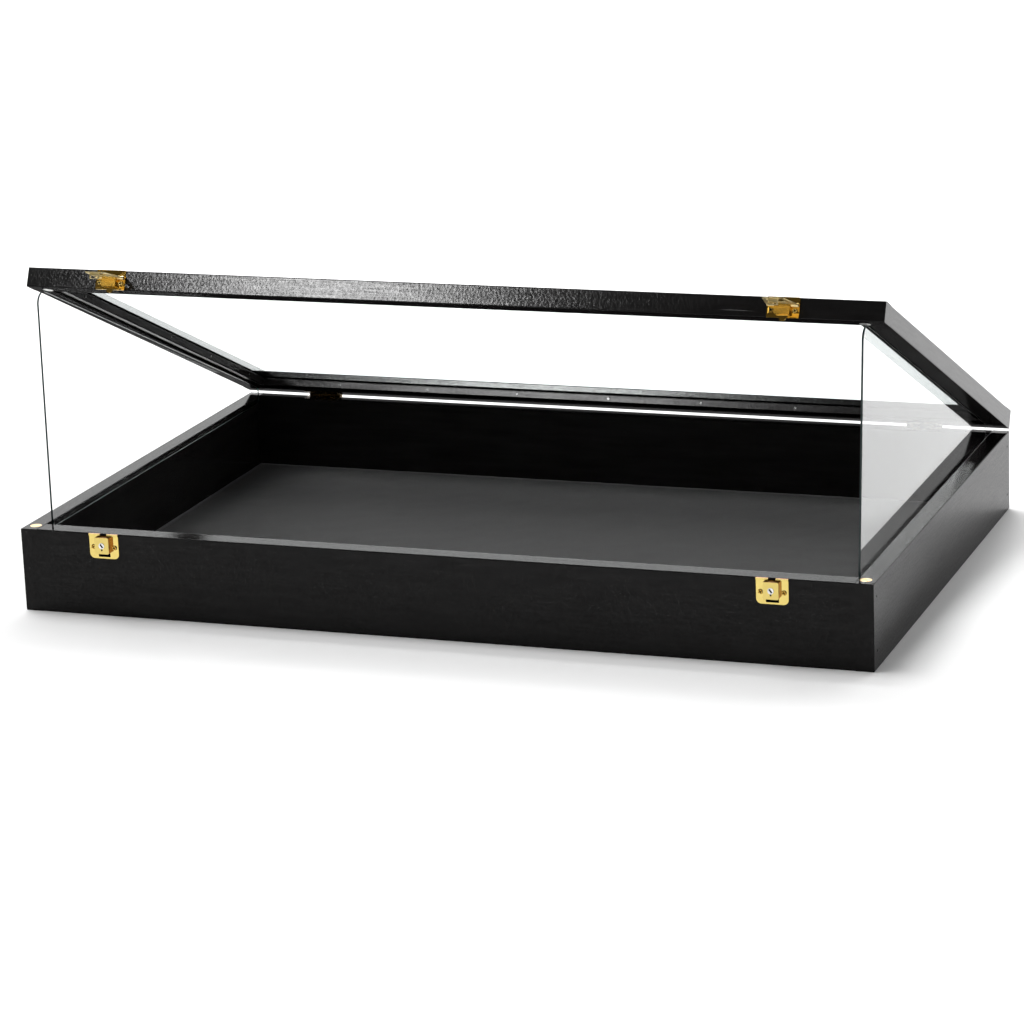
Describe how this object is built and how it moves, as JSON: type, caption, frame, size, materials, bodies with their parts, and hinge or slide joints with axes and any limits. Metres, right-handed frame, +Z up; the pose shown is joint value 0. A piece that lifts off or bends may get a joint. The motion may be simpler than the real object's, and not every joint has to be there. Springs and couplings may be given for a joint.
{
  "type": "glass-lidded display case",
  "caption": "Shallow black wooden display case with a felt-lined tray, a framed glass lid propped open on glass side panes, and brass lock hasps along its front.",
  "frame": {"origin": "centre of the tray's underside, on the surface it stands on", "axes": "+X along the width towards the right-hand wall, +Y from the open front to the hinged rear, +Z up"},
  "size_m": [0.864, 0.5751, 0.3427],
  "materials": {
    "black_wood": "satin black paint over fine grain",
    "charcoal_felt": "matte charcoal felt",
    "polished_brass": "polished",
    "brass_discs": "satin, pale",
    "nickel": "plated",
    "steel_pins": "bright",
    "clear_glass": "clear, with green edges"
  },
  "bodies": {
    "base": {"base_left_wall": "black_wood", "base_right_wall": "black_wood", "base_front_rail": "black_wood", "base_rear_rail": "black_wood", "bottom_panel": "black_wood", "felt_liner": "charcoal_felt", "pane_ledge_left": "black_wood", "pane_ledge_right": "black_wood", "ledge_pins": "steel_pins", "wall_nails": "steel_pins", "base_discs": "brass_discs", "hinge_base_leaf_left": "polished_brass", "hinge_base_leaf_right": "polished_brass", "hinge_pin_left": "polished_brass", "hinge_pin_right": "polished_brass", "hinge_base_screws": "polished_brass", "lock_plate_left": "polished_brass", "lock_plate_right": "polished_brass", "lock_screws": "polished_brass"},
    "lid": {"lid_front_rail": "black_wood", "lid_rear_rail": "black_wood", "lid_left_rail": "black_wood", "lid_right_rail": "black_wood", "lid_glass": "clear_glass", "bead_front": "black_wood", "bead_rear": "black_wood", "bead_left": "black_wood", "bead_right": "black_wood", "bead_brads": "steel_pins", "lid_discs": "nickel", "hinge_lid_leaf_left": "polished_brass", "hinge_lid_leaf_right": "polished_brass", "hinge_lid_screws": "polished_brass", "latch_plate_left": "polished_brass", "latch_plate_right": "polished_brass", "latch_screws": "polished_brass", "hasp_pin_left": "polished_brass", "hasp_pin_right": "polished_brass"},
    "pane_left": {"side_pane_left": "clear_glass"},
    "pane_right": {"side_pane_right": "clear_glass"},
    "hasp_left": {"hasp_left": "polished_brass"},
    "hasp_right": {"hasp_right": "polished_brass"},
    "barrel_left": {"lock_barrel_left": "nickel"},
    "barrel_right": {"lock_barrel_right": "nickel"},
    "bolt_left": {"lock_bolt_left": "nickel"},
    "bolt_right": {"lock_bolt_right": "nickel"}
  },
  "joints": [
    {"name": "lid_hinge", "type": "hinge", "parent": "base", "child": "lid", "pos_m": [0, 0.282, 0.0847], "axis": [-1, 0, 0], "range_deg": [0, 76]},
    {"name": "pane_left_tip", "type": "hinge", "parent": "base", "child": "pane_left", "pos_m": [-0.4102, 0, 0.079], "axis": [0, 1, 0], "range_deg": [0, 106.7]},
    {"name": "pane_right_tip", "type": "hinge", "parent": "base", "child": "pane_right", "pos_m": [0.4102, 0, 0.079], "axis": [0, -1, 0], "range_deg": [0, 104]},
    {"name": "hasp_left_swing", "type": "hinge", "parent": "lid", "child": "hasp_left", "pos_m": [-0.3415, -0.22798, 0.32868], "axis": [-1, 0, 0], "range_deg": [-86, 80]},
    {"name": "hasp_right_swing", "type": "hinge", "parent": "lid", "child": "hasp_right", "pos_m": [0.3365, -0.22798, 0.32868], "axis": [-1, 0, 0], "range_deg": [-88, 78]},
    {"name": "lock_left_turn", "type": "hinge", "parent": "base", "child": "barrel_left", "pos_m": [-0.3415, -0.28, 0.07325], "axis": [0, 1, 0], "range_deg": [0, 90]},
    {"name": "lock_right_turn", "type": "hinge", "parent": "base", "child": "barrel_right", "pos_m": [0.3365, -0.28, 0.07325], "axis": [0, 1, 0], "range_deg": [0, 90]},
    {"name": "bolt_left_slide", "type": "slide", "parent": "base", "child": "bolt_left", "axis": [0, 0, -1], "range_m": [0, 0.00285]},
    {"name": "bolt_right_slide", "type": "slide", "parent": "base", "child": "bolt_right", "axis": [0, 0, -1], "range_m": [0, 0.00285]}
  ],
  "couplings": [
    {"joint": "bolt_left_slide", "follows": "lock_left_turn", "m_per_rad": 0.0018},
    {"joint": "bolt_right_slide", "follows": "lock_right_turn", "m_per_rad": 0.0018}
  ]
}
